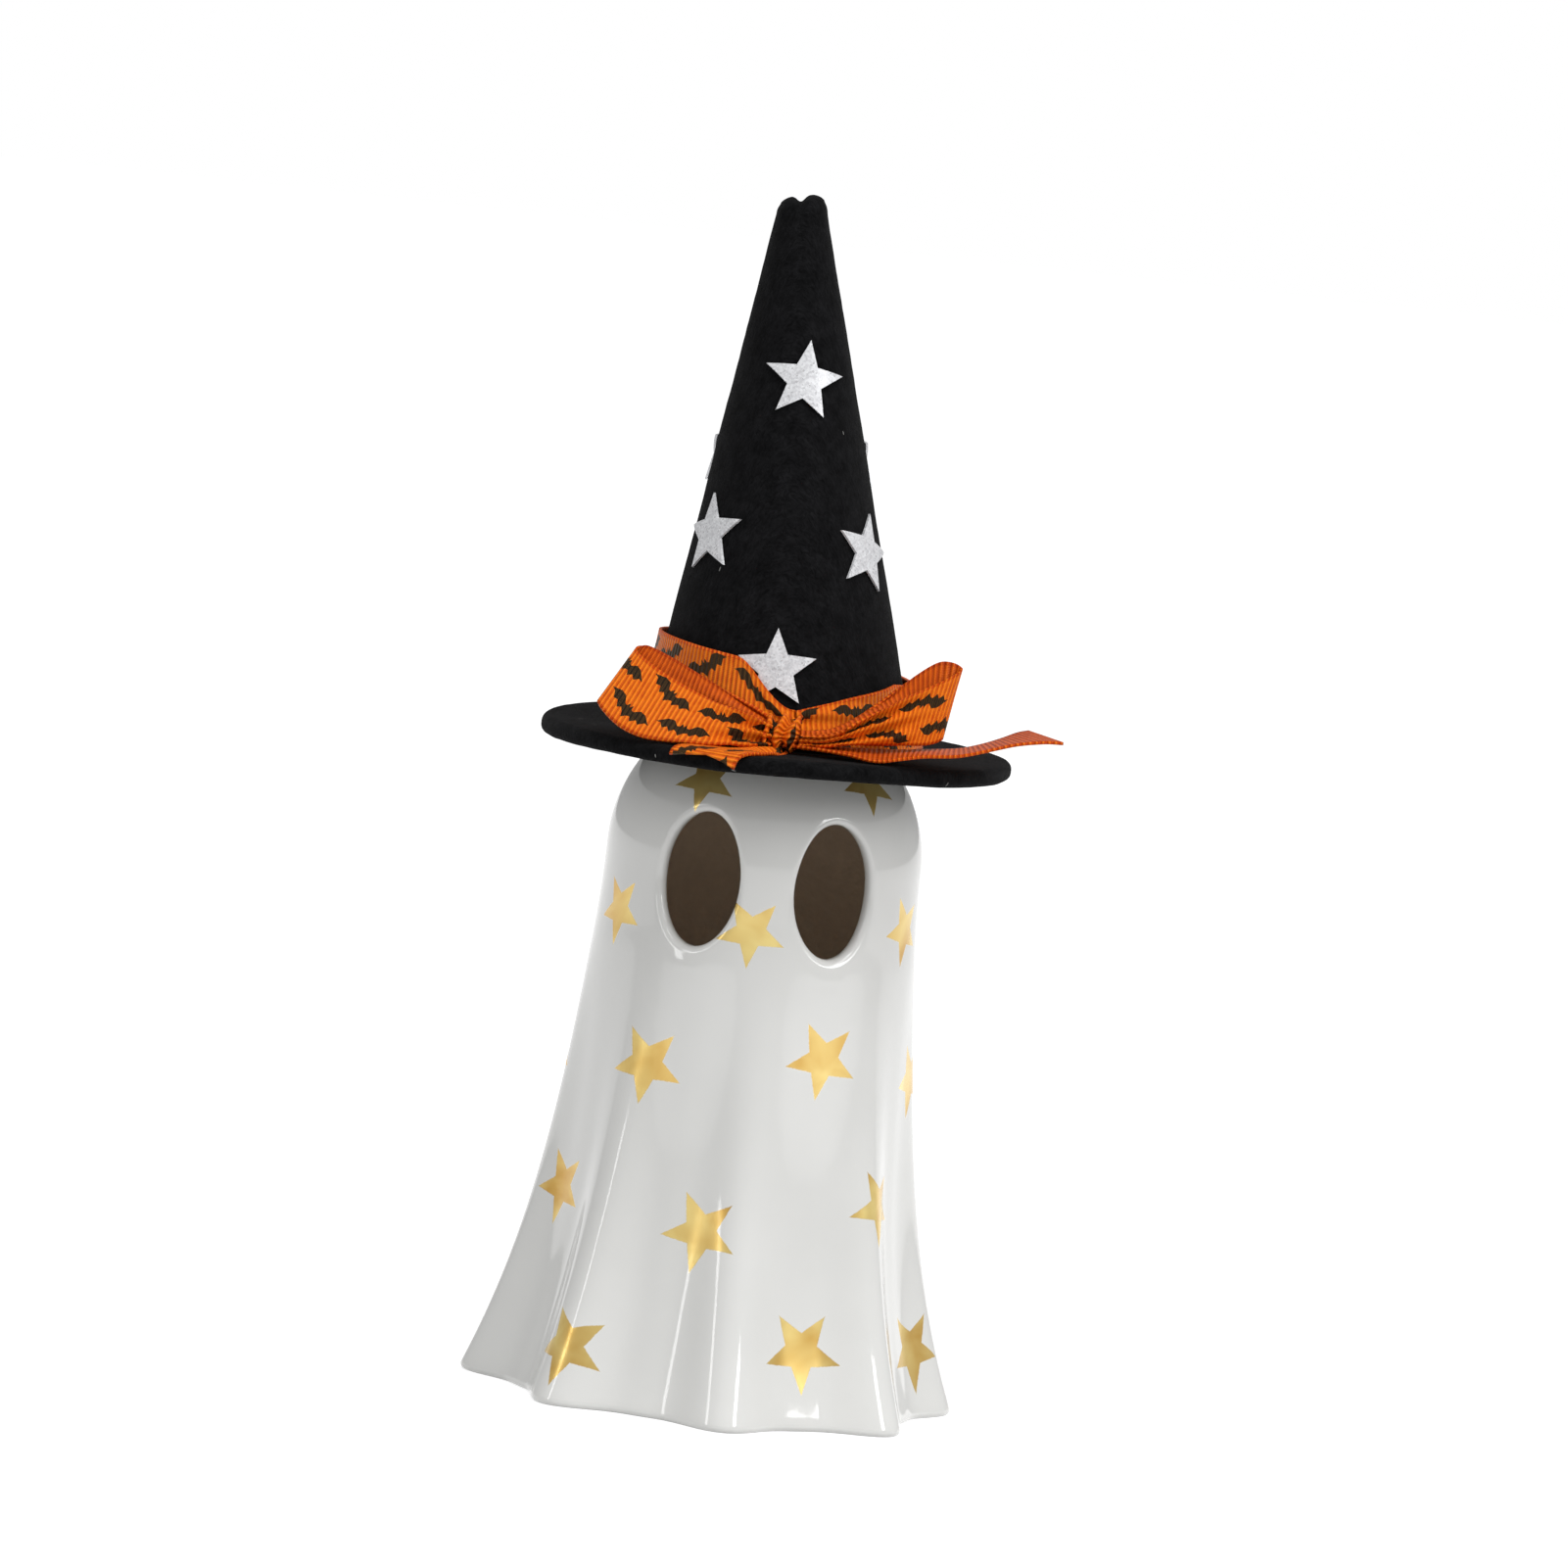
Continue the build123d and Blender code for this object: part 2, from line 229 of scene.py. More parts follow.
# turn from the face, height, spin and size of each gold star: first those that show from the
# front, then those behind
gold_stars = [
    (-31.3, 0.0800, -34, 0.0044),
    (45.2, 0.0813, -27, 0.0045),
    (-4.2, 0.0620, -35, 0.0046),
    (-61.6, 0.0620, -36, 0.0047),
    (64.6, 0.0629, -25, 0.0047),
    (-35.8, 0.0437, -34, 0.0052),
    (26.6, 0.0466, -29, 0.0052),
    (84.3, 0.0432, -25, 0.0051),
    (-71.5, 0.0256, -32, 0.0051),
    (-9.3, 0.0238, -27, 0.0054),
    (52.1, 0.0282, -30, 0.0052),
    (-40.9, 0.0076, -30, 0.0055),
    (25.3, 0.0099, -36, 0.0055),
    (80.5, 0.0087, -32, 0.0056),
    (-96.0, 0.0424, -30, 0.0051),
    (-93.0, 0.0834, -33, 0.0044),
    (99.0, 0.0800, -28, 0.0045),
    (156.0, 0.0816, -38, 0.0044),
    (-148.0, 0.0802, -31, 0.0045),
    (123.0, 0.0622, -36, 0.0047),
    (-178.0, 0.0634, -29, 0.0047),
    (-119.0, 0.0618, -33, 0.0046),
    (143.0, 0.0452, -27, 0.0052),
    (-152.0, 0.0436, -35, 0.0052),
    (113.0, 0.0262, -30, 0.0052),
    (172.0, 0.0248, -37, 0.0053),
    (-129.0, 0.0270, -28, 0.0052),
    (141.0, 0.0082, -34, 0.0055),
    (-159.0, 0.0094, -29, 0.0055),
    (-100.0, 0.0080, -33, 0.0056),
]
slope_span = 0.001
star_frames = []
for turn, level, spin, size in gold_stars:
    turn = radians(turn)
    spin = radians(spin)
    radius = bell_radius(level) - pleat_depth(turn, level)
    gain = bell_radius(level + slope_span / 2) - bell_radius(level - slope_span / 2)
    outward = Vector((sin(turn), -cos(turn), -gain / slope_span)).normalized()
    aside = Vector((cos(turn), sin(turn), 0))
    upward = outward.cross(aside)
    centre = Vector((radius * sin(turn), -radius * cos(turn), level))
    star_right = aside * cos(spin) - upward * sin(spin)
    star_up = upward * cos(spin) + aside * sin(spin)
    star_frames.append((centre, star_right, star_up, size))
star_map = bell.loops.layers.uv.new("stars")
for face in bell.faces:
    middle = face.calc_center_median()
    nearest = min(star_frames, key=lambda star: (middle - star[0]).length_squared)
    centre, star_right, star_up, size = nearest
    for corner in face.loops:
        reach = corner.vert.co - centre
        flat = Vector((reach.dot(star_right), reach.dot(star_up)))
        corner[star_map].uv = flat * (reach.length / max(flat.length, 1e-9) / size)


def set_inputs(tree, node, inputs):
    """Sets a shader node's inputs, or links them to other nodes' outputs."""
    for name, value in inputs.items():
        if isinstance(value, bpy.types.NodeSocket):
            tree.links.new(value, node.inputs[name])
        else:
            node.inputs[name].default_value = value


def put(tree, kind, inputs=None, **settings):
    """Adds a shader node, with its settings, and its inputs set or linked."""
    node = tree.nodes.new("ShaderNode" + kind)
    for name, value in settings.items():
        setattr(node, name, value)
    set_inputs(tree, node, inputs or {})
    return node


def work_out(tree, operation, *values):
    """Adds a maths node and gives its result."""
    return put(tree, "Math", dict(enumerate(values)), operation=operation).outputs[0]


def blend_colours(tree, share, low, high):
    """Adds a mix of two colours and gives its result."""
    return put(tree, "Mix", {0: share, 6: low, 7: high}, data_type="RGBA").outputs[2]


def new_finish(name):
    """Starts a finish, and gives it with its node tree and its surface."""
    finish = bpy.data.materials.new(name)
    finish.use_nodes = True
    tree = finish.node_tree
    return finish, tree, tree.nodes["Principled BSDF"]


glaze_pooled = (0.73, 0.73, 0.71, 1)
glaze_thin = (0.805, 0.805, 0.785, 1)
gold_dark = (0.66, 0.38, 0.07, 1)
gold_bright = (1.0, 0.79, 0.30, 1)
star_waist = 0.43
star_fray = 0.03
white_glaze, tree, surface = new_finish("white_glaze_with_gold")
place = put(tree, "TexCoord").outputs["Object"]
star_place = put(tree, "UVMap", uv_map="stars").outputs[0]
star_axes = put(tree, "SeparateXYZ", {0: star_place})
star_turn = work_out(tree, "ARCTAN2", star_axes.outputs[0], star_axes.outputs[1])
star_fold = work_out(tree, "PINGPONG", star_turn, pi / 5)
star_reach = put(tree, "VectorMath", {0: star_place}, operation="LENGTH").outputs["Value"]
star_tip = work_out(tree, "MULTIPLY", star_reach, work_out(tree, "COSINE", star_fold))
star_flank = work_out(tree, "MULTIPLY", star_reach, work_out(tree, "SINE", star_fold))
star_side = Vector((star_waist * cos(pi / 5) - 1, star_waist * sin(pi / 5))).normalized()
past_tip = work_out(tree, "MULTIPLY", work_out(tree, "SUBTRACT", star_tip, 1.0), star_side.y)
past_flank = work_out(tree, "MULTIPLY", star_flank, -star_side.x)
star_edge = work_out(tree, "ADD", past_tip, past_flank)
ragged = put(tree, "TexNoise", {"Vector": place, "Scale": 2600, "Detail": 2}).outputs[0]
ragged = work_out(tree, "SUBTRACT", ragged, 0.5)
star_edge = work_out(tree, "MULTIPLY_ADD", ragged, star_fray, star_edge)
gold = put(tree, "MapRange", {0: star_edge, 1: 0.012, 2: -0.012, 3: 0.0, 4: 1.0}).outputs[0]
pooling = put(tree, "TexNoise", {"Vector": place, "Scale": 70, "Detail": 3}).outputs[0]
glaze_colour = blend_colours(tree, pooling, glaze_pooled, glaze_thin)
# random lighter and darker patches in the gold: partly the lustre's own uneven tone, partly
# painted reflection
gold_patch_cloud = {"Vector": place, "W": 3.0, "Scale": 130, "Detail": 3, "Distortion": 0.6}
gold_tone_and_reflection = put(tree, "TexNoise", gold_patch_cloud, noise_dimensions="4D").outputs[0]
gold_tone_and_reflection = put(tree, "MapRange", {0: gold_tone_and_reflection, 1: 0.33, 2: 0.67}).outputs[0]
gold_colour = blend_colours(tree, gold_tone_and_reflection, gold_dark, gold_bright)
ripple = put(tree, "TexNoise", {"Vector": place, "Scale": 160, "Detail": 1}).outputs[0]
glaze_bump = put(tree, "Bump", {"Strength": 0.05, "Distance": 0.0006, "Height": ripple})
set_inputs(tree, surface, {
    "Base Color": blend_colours(tree, gold, glaze_colour, gold_colour),
    "Metallic": work_out(tree, "MULTIPLY", gold, 0.6),
    "Roughness": work_out(tree, "MULTIPLY_ADD", gold, 0.2, 0.07),
    "Normal": glaze_bump.outputs[0],
    "IOR": 1.52,
    "Coat Weight": 0.25,
    "Coat Roughness": 0.03,
})

bare_dark = (0.68, 0.55, 0.42, 1)
bare_pale = (0.78, 0.65, 0.51, 1)
bare_stoneware, tree, surface = new_finish("bare_stoneware")
place = put(tree, "TexCoord").outputs["Object"]
grain = put(tree, "TexNoise", {"Vector": place, "Scale": 900, "Detail": 5}).outputs[0]
grit = put(tree, "Bump", {"Strength": 0.3, "Distance": 0.0003, "Height": grain})
set_inputs(tree, surface, {
    "Base Color": blend_colours(tree, grain, bare_dark, bare_pale),
    "Normal": grit.outputs[0],
    "Roughness": 0.9,
})

ghost = make_piece("ghost_shell", bell, white_glaze, bare_stoneware)
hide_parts("ghost_body")
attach(ghost, "ghost")


# Hat brim. A disc of thick black felt, cut by hand and a little uneven, with a soft edge.
# Its opening is pressed to the shape of the ghost's head, and it rests there by its weight.
brim_low, brim_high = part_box("hat_brim")
brim_top = brim_high.z
brim_base = brim_low.z
brim_radius = brim_high.x
brim_round = 0.00095
brim_opening = 0.0145
brim_rings = 24
edge_rings = 6
seat_rings = 4
brim_columns = 240
under_cone = 0.0185
sag_depth = 0.00018
wave_depth = 0.00010
lump_depth = 0.00007
cut_sway = 0.0018
cut_wander = 0.0025
cut_short = 0.003
seat_gap = 0.0002
seat_radius = head_radius + seat_gap
seat_foot = sqrt(seat_radius**2 - (brim_base - head_line) ** 2)
seat_top = head_line + sqrt(seat_radius**2 - brim_opening**2)
flat_end = brim_radius - brim_round
brim_outline = [(brim_opening, brim_top)]
for step in range(1, brim_rings + 1):
    brim_outline.append((brim_opening + (flat_end - brim_opening) * step / brim_rings, brim_top))
for roll in quarter_turn(edge_rings):
    edge_radius = brim_radius - brim_round * (1 - sin(roll))
    brim_outline.append((edge_radius, brim_top - brim_round * (1 - cos(roll))))
for roll in quarter_turn(edge_rings, 0):
    edge_radius = brim_radius - brim_round * (1 - cos(roll))
    brim_outline.append((edge_radius, brim_base + brim_round * (1 - sin(roll))))
for step in range(1, brim_rings + 1):
    brim_outline.append((flat_end - (flat_end - seat_foot) * step / brim_rings, brim_base))
for step in range(1, seat_rings + 1):
    level = brim_base + (seat_top - brim_base) * step / seat_rings
    brim_outline.append((sqrt(seat_radius**2 - (level - head_line) ** 2), level))
brim_outline.append((brim_opening, brim_top))
brim_form = bmesh.new()
spin_outline(brim_form, brim_outline, brim_columns)
for vert in brim_form.verts:
    turn = atan2(vert.co.x, -vert.co.y)
    radius = hypot(vert.co.x, vert.co.y)
    outer = max(radius - under_cone, 0.0) / (brim_radius - under_cone)
    sag = sag_depth * sin(2 * turn + 0.7) + wave_depth * sin(5 * turn)
    lump = noise.noise(vert.co * 320) * lump_depth
    vert.co.z += outer * (sag + lump)
    sway = cut_sway * sin(3 * turn + 1)
    draw_in(vert, 1 + outer * (sway + cut_wander * noise.noise(vert.co * 180) - cut_short))

felt_dark = (0.0015, 0.0015, 0.0017, 1)
felt_light = (0.0105, 0.0105, 0.0115, 1)
lint_grey = (0.25, 0.25, 0.24, 1)
lint_size = 0.085
lint_free = 0.9
black_felt, tree, surface = new_finish("black_felt")
place = put(tree, "TexCoord").outputs["Object"]
clumps = {"Vector": place, "Scale": 520, "Detail": 6, "Roughness": 0.65}
mottle = put(tree, "TexNoise", clumps).outputs[0]
stretch = {"Vector": place, "Rotation": (0.5, 0.3, 0.9), "Scale": (1, 6, 1)}
fibre_way = put(tree, "Mapping", stretch).outputs[0]
hairs = {"Vector": fibre_way, "Scale": 900, "Detail": 4, "Distortion": 1.5}
fibres = put(tree, "TexNoise", hairs).outputs[0]
felt_shade = work_out(tree, "MULTIPLY", mottle, fibres)
felt_shade = put(tree, "MapRange", {0: felt_shade, 1: 0.12, 2: 0.42}).outputs[0]
felt_colour = blend_colours(tree, felt_shade, felt_dark, felt_light)
lint_cells = put(tree, "TexVoronoi", {"Vector": fibre_way, "Scale": 260})
lint_pick = put(tree, "SeparateColor", {0: lint_cells.outputs["Color"]}).outputs[0]
lint_here = work_out(tree, "GREATER_THAN", lint_pick, lint_free)
lint_speck = work_out(tree, "LESS_THAN", lint_cells.outputs["Distance"], lint_size)
lint = work_out(tree, "MULTIPLY", lint_here, lint_speck)
felt_nap = work_out(tree, "MULTIPLY", mottle, 0.6)
felt_nap = work_out(tree, "ADD", felt_nap, work_out(tree, "MULTIPLY", fibres, 0.6))
felt_bump = put(tree, "Bump", {"Strength": 0.55, "Distance": 0.0004, "Height": felt_nap})
set_inputs(tree, surface, {
    "Base Color": blend_colours(tree, lint, felt_colour, lint_grey),
    "Normal": felt_bump.outputs[0],
    "Roughness": 0.95,
    "Specular IOR Level": 0.08,
    "Sheen Weight": 0.02,
    "Sheen Roughness": 0.4,
})

brim = make_piece("felt_brim", brim_form, black_felt)
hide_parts("hat_brim")
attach(brim, "hat")


# Hat cone. A sector of the same felt rolled up and glued edge to edge at the back, so that it
# leans a little to one side. Its tip is pinched into two small bumps, and its foot is glued
# to the brim.
cone_radius = 0.0174
cone_height = 0.069
cone_wall = 0.0018
wall_along_slope = 1.03
cone_sink = 0.003
tip_radius = 0.0029
tip_round = 0.0024
tip_lean = 0.0043
inner_rings = 40
outer_rings = 71
tip_rings = 8
cap_rings = 3
cone_columns = 200
seam_depth = 0.00035
seam_width = 0.0005
dent_depth = 0.00012
nap_depth = 0.00004
pinch_depth = 0.0008
pinch_width = 0.0007
pinch_aside = 0.0002
pinch_start = 0.0002
smooth_tip = 0.001
tip_tilt = 0.00035
cone_slope = (cone_radius - tip_radius) / cone_height
inner_top = cone_height - 2 * cone_wall
lean = atan2(tip_lean, cone_height)
lean_over = Matrix.Translation((0, 0, brim_top)) @ Matrix.Rotation(-lean, 4, "Y")


def cone_width(height):
    """Outer radius of the cone at a height up its own axis."""
    return cone_radius - cone_slope * height


cap_radius = cone_width(cone_height - tip_round) - tip_round
cone_outline = [(0, inner_top)]
for step in range(inner_rings + 1):
    height = inner_top - (inner_top + cone_sink) * step / inner_rings
    cone_outline.append((cone_width(height) - cone_wall * wall_along_slope, height))
for step in range(outer_rings + 1):
    height = -cone_sink + (cone_height - tip_round + cone_sink) * step / outer_rings
    cone_outline.append((cone_width(height), height))
for roll in quarter_turn(tip_rings):
    height = cone_height - tip_round * (1 - sin(roll))
    cone_outline.append((cap_radius + tip_round * cos(roll), height))
for step in range(1, cap_rings + 1):
    cone_outline.append((cap_radius * (1 - step / cap_rings), cone_height))
cone_form = bmesh.new()
spin_outline(cone_form, cone_outline, cone_columns)
for vert in cone_form.verts:
    turn = atan2(vert.co.x, -vert.co.y)
    radius = hypot(vert.co.x, vert.co.y)
    height = vert.co.z
    outside = radius > cone_width(height) - cone_wall / 2
    if outside and radius > 0 and height < cone_height - smooth_tip:
        seam = seam_depth * exp(-(((pi - abs(turn)) * radius / seam_width) ** 2))
        hollow = noise.noise(Vector((sin(turn) * 2, cos(turn) * 2, height * 90)))
        dent = dent_depth * (1 + hollow)
        nap = nap_depth * (1 + noise.noise(vert.co * 700))
        draw_in(vert, 1 - (seam + dent + nap) / radius)
    if height > inner_top + pinch_start:
        share = (height - cone_height + 2 * cone_wall) / (2 * cone_wall)
        vert.co.z -= pinch_depth * share * exp(-(((vert.co.x + pinch_aside) / pinch_width) ** 2))
        vert.co.z += tip_tilt * share * vert.co.x / tip_radius
bmesh.ops.transform(cone_form, matrix=lean_over, verts=cone_form.verts)
bmesh.ops.bisect_plane(
    cone_form, geom=cone_form.verts[:] + cone_form.edges[:] + cone_form.faces[:], dist=1e-6,
    plane_co=(0, 0, brim_top), plane_no=(0, 0, 1), clear_inner=True,
)
bmesh.ops.bridge_loops(cone_form, edges=[edge for edge in cone_form.edges if edge.is_boundary])
bmesh.ops.recalc_face_normals(cone_form, faces=cone_form.faces)
cone = make_piece("felt_cone", cone_form, black_felt)
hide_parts("hat_cone")
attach(cone, "hat")


# Hat stars. Five-pointed stars die-cut from silver-white glitter film and glued to the cone,
# scattered in rows up it and bent to its curve.
film_grey = (0.48, 0.48, 0.50, 1)
film_white = (0.92, 0.93, 0.95, 1)
glitter_film, tree, surface = new_finish("glitter_film")
place = put(tree, "TexCoord").outputs["Object"]
flakes = put(tree, "TexVoronoi", {"Vector": place, "Scale": 4200})
flake_light = put(tree, "SeparateColor", {0: flakes.outputs["Color"]}).outputs[0]
cloudy = put(tree, "TexNoise", {"Vector": place, "Scale": 700, "Detail": 4}).outputs[0]
cloudy = work_out(tree, "MULTIPLY", cloudy, 0.6)
film_shade = work_out(tree, "MULTIPLY_ADD", flake_light, 0.45, cloudy)
film_bump = put(tree, "Bump", {"Strength": 0.3, "Distance": 0.0001, "Height": flake_light})
set_inputs(tree, surface, {
    "Base Color": blend_colours(tree, film_shade, film_grey, film_white),
    "Roughness": work_out(tree, "MULTIPLY_ADD", flake_light, 0.3, 0.25),
    "Normal": film_bump.outputs[0],
    "Metallic": 0.25,
})
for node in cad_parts:
    if node.startswith("hat_star_"):
        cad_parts[node].data.materials.clear()
        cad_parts[node].data.materials.append(glitter_film)


# Ribbon band. A length of 10 mm grosgrain ribbon, woven with fine ribs across it and printed
# on one side with black bats, wound once round the foot of the cone and gathered at the knot.
ribbon_width = 0.010
ribbon_thickness = 0.0004
ribbon_rows = 20
printed_light = (1.0, 0.23, 0.010, 1)
printed_dark = (0.56, 0.045, 0.001, 1)
# the plain side is coloured darker than the printed side: painted shade for the loops' insides
plain_shaded_light = (0.74, 0.115, 0.006, 1)
plain_shaded_dark = (0.36, 0.022, 0.001, 1)
thread_sheen = (1.0, 0.55, 0.16, 1)
bat_black = (0.012, 0.008, 0.007, 1)
ribbon_front, tree, surface = new_finish("printed_grosgrain")
ribbon_back, back_tree, back_surface = new_finish("plain_grosgrain_painted_shade")

# the weave and the print on the ribbon's own map, in millimetres
rib_pitch = 0.64
thread_pitch = 0.22
selvedge_and_shadow_line = 4.55
bat_pitch = 7.6
bat_row = 5.0
bat_shift = 3.7
bat_swing = 1.6
bat_half_span = 3.5
bat_top = [
    (0, 0.7), (0.07, 0.9), (0.13, 0.68), (0.22, 0.66), (0.42, 0.96), (0.66, 0.94), (1, 0.6),
]
bat_foot = [
    (0, 0.02), (0.12, 0.26), (0.24, 0.36), (0.36, 0.16), (0.52, 0.44), (0.68, 0.3), (0.84, 0.58),
    (1, 0.58),
]


def weave(tree, surface, light, dark):
    """Makes ribbed cloth on a ribbon's map, and gives the map's axes and the cloth's colour."""
    ribbon_map = put(tree, "UVMap", uv_map="ribbon").outputs[0]
    axes = put(tree, "SeparateXYZ", {0: ribbon_map})
    rib = work_out(tree, "MULTIPLY", axes.outputs[0], 2 * pi / rib_pitch)
    rib = work_out(tree, "SINE", rib)
    thread = work_out(tree, "MULTIPLY", axes.outputs[1], 2 * pi / thread_pitch)
    thread = work_out(tree, "SINE", thread)
    uneven = put(tree, "TexNoise", {"Vector": ribbon_map, "Scale": 0.8, "Detail": 4}).outputs[0]
    # a band along both edges: a selvedge raised in the relief, and a painted shadow line in the
    # colour
    edge = work_out(tree, "ABSOLUTE", axes.outputs[1])
    edge = work_out(tree, "GREATER_THAN", edge, selvedge_and_shadow_line)
    # colour lighter and darker along the ribs, painted shade and highlights, over the cloth's own
    # uneven tone
    painted_shade_and_tone = work_out(tree, "MULTIPLY_ADD", thread, 0.06, uneven)
    painted_shade_and_tone = work_out(tree, "MULTIPLY_ADD", rib, 0.42, painted_shade_and_tone)
    painted_shade_and_tone = work_out(tree, "ADD", painted_shade_and_tone, 0.14)
    painted_shade_and_tone = work_out(tree, "MULTIPLY_ADD", edge, -0.45, painted_shade_and_tone)
    relief = work_out(tree, "MULTIPLY", rib, 0.8)
    relief = work_out(tree, "MULTIPLY_ADD", thread, 0.12, relief)
    relief = work_out(tree, "MULTIPLY_ADD", edge, 0.5, relief)
    bump = put(tree, "Bump", {"Strength": 0.8, "Distance": 0.00016, "Height": relief})
    set_inputs(tree, surface, {
        "Normal": bump.outputs[0],
        "Roughness": 0.4,
        "Specular IOR Level": 0.5,
        "Specular Tint": thread_sheen,
    })
    return axes, blend_colours(tree, painted_shade_and_tone, dark, light)


def from_middle(tree, place, cell, size):
    """How far a place is from the middle of its cell in a repeated pattern."""
    part = work_out(tree, "SUBTRACT", place, cell)
    return work_out(tree, "MULTIPLY", work_out(tree, "SUBTRACT", part, 0.5), size)


axes, cloth = weave(tree, surface, printed_light, printed_dark)
across_rows = work_out(tree, "ADD", axes.outputs[1], bat_row)
across_rows = work_out(tree, "DIVIDE", across_rows, bat_row)
row = work_out(tree, "FLOOR", across_rows)
along_rows = work_out(tree, "MULTIPLY_ADD", row, bat_shift, axes.outputs[0])
along_rows = work_out(tree, "DIVIDE", along_rows, bat_pitch)
column = work_out(tree, "FLOOR", along_rows)
cell = put(tree, "CombineXYZ", {0: column, 1: row}).outputs[0]
chance = put(tree, "TexWhiteNoise", {"Vector": cell}, noise_dimensions="2D").outputs[0]
bat_spin = work_out(tree, "SUBTRACT", chance, 0.5)
bat_spin = work_out(tree, "MULTIPLY", bat_spin, bat_swing)
bat_x = from_middle(tree, along_rows, column, bat_pitch)
bat_y = from_middle(tree, across_rows, row, bat_row)
bat_place = put(tree, "CombineXYZ", {0: bat_x, 1: bat_y}).outputs[0]
bat_turned = {0: bat_place, "Angle": bat_spin}
bat_place = put(tree, "VectorRotate", bat_turned, rotation_type="Z_AXIS").outputs[0]
bat_axes = put(tree, "SeparateXYZ", {0: bat_place})
wing = work_out(tree, "ABSOLUTE", bat_axes.outputs[0])
wing = work_out(tree, "DIVIDE", wing, bat_half_span)
bat_rise = work_out(tree, "MULTIPLY_ADD", bat_axes.outputs[1], 0.36, 0.5)
bat_edges = []
for corners in (bat_top, bat_foot):
    curve = put(tree, "FloatCurve", {"Value": wing})
    outline = curve.mapping.curves[0]
    outline.points[0].location = corners[0]
    outline.points[1].location = corners[-1]
    for corner in corners[1:-1]:
        outline.points.new(*corner)
    for point in outline.points:
        point.handle_type = "VECTOR"
    curve.mapping.update()
    bat_edges.append(curve.outputs[0])
under_top = work_out(tree, "LESS_THAN", bat_rise, bat_edges[0])
over_foot = work_out(tree, "GREATER_THAN", bat_rise, bat_edges[1])
bat = work_out(tree, "MULTIPLY", under_top, over_foot)
bat = work_out(tree, "MULTIPLY", work_out(tree, "LESS_THAN", wing, 1.0), bat)
set_inputs(tree, surface, {"Base Color": blend_colours(tree, bat, cloth, bat_black)})
# the plain side takes the darker colours, painted shade, on every ribbon piece
axes, cloth = weave(back_tree, back_surface, plain_shaded_light, plain_shaded_dark)
set_inputs(back_tree, back_surface, {"Base Color": cloth})


def cut_ribbon(length, columns, notch=0.0):
    """Cuts a flat ribbon along X, with its map in millimetres, square or with a notched end."""
    strip = bmesh.new()
    ribbon_map = strip.loops.layers.uv.new("ribbon")
    bmesh.ops.create_grid(strip, x_segments=columns, y_segments=ribbon_rows, size=0.5)
    for vert in strip.verts:
        aside = abs(vert.co.y) * 2
        vert.co.x = (vert.co.x + 0.5) * (length - notch * (1 - aside))
        vert.co.y *= ribbon_width
    for face in strip.faces:
        for corner in face.loops:
            corner[ribbon_map].uv = (corner.vert.co.x * 1000, corner.vert.co.y * 1000)
    return strip


def sew_ribbon(name, strip, node):
    """Gives a bent ribbon its thickness and finishes, and puts it on the hat in place of its
    plain solid."""
    ribbon = make_piece(name, strip, ribbon_front, ribbon_back)
    thick = ribbon.modifiers.new("cloth", "SOLIDIFY")
    thick.thickness = ribbon_thickness
    thick.offset = -1
    thick.material_offset = 1
    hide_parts(node)
    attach(ribbon, "hat")


# the band's course: it falls towards the right, and it gathers on both sides of the knot, over
# more of a turn on the right; turns are in degrees
band_length = 0.1035
band_columns = 320
band_fall = 0.097
band_foot = 0.0007
band_head = 0.0104
lowest_foot = 0.0005
gather_foot = 0.0004
gather_head = 0.0049
gather_most = 0.95
gather_right = 54
gather_left = 28
knot_turn = 5
band_clear = 0.0009
crease_depth = 0.0003
crease_count = 2.5
crease_slant = 9
looseness = 0.00015
band = cut_ribbon(band_length, band_columns)
for vert in band.verts:
    away = 360 * vert.co.x / band_length
    turn = radians(knot_turn + away)
    if away < 180:
        gather = gather_most * max(1 - away / gather_right, 0)
    else:
        gather = gather_most * cos(min((360 - away) / gather_left, 1) * pi / 2) ** 2
    across = vert.co.y / ribbon_width + 0.5
    fall = band_fall * (cone_radius * sin(turn))
    low = max(band_foot - fall, lowest_foot) * (1 - gather) + gather_foot * gather
    high = (band_head - fall) * (1 - gather) + gather_head * gather
    level = low + (high - low) * across
    crease = 1 + sin(across * 2 * pi * crease_count + away / crease_slant)
    ply = band_clear + crease_depth * gather * crease
    ply += looseness * (1 + noise.noise(Vector((away / 25, across * 2, 0))))
    height = level
    for settle in range(3):
        radius = cone_width(height) + ply
        height = (level - radius * sin(turn) * sin(lean)) / cos(lean)
    vert.co = lean_over @ Vector((radius * sin(turn), -radius * cos(turn), height))
sew_ribbon("ribbon_round_cone", band, "ribbon_band")


# Bow loops. The ribbon's two loops, left and right of the knot as seen from the front.
# Each runs out behind, folds over at its end and comes back in front, full width at the fold
# and gathered into small pleats at the knot.
course_stations = 400
flat_from = 0.85
flat_ease = 0.3
loop_columns = 160
loop_pleats = 2.5
loop_pleat_depth = 0.0006


def along(points, share):
    """A point on a smooth line through some points."""
    step = min(int(share * (len(points) - 1)), len(points) - 2)
    part = share * (len(points) - 1) - step
    start, end = points[step], points[step + 1]
    before = points[step - 1] if step else start * 2 - end
    after = points[step + 2] if step + 2 < len(points) else end * 2 - start
    bend = (before * 2 - start * 5 + end * 4 - after) * part**2
    twist = (start * 3 - end * 3 + after - before) * part**3
    return (start * 2 + (end - before) * part + bend + twist) / 2


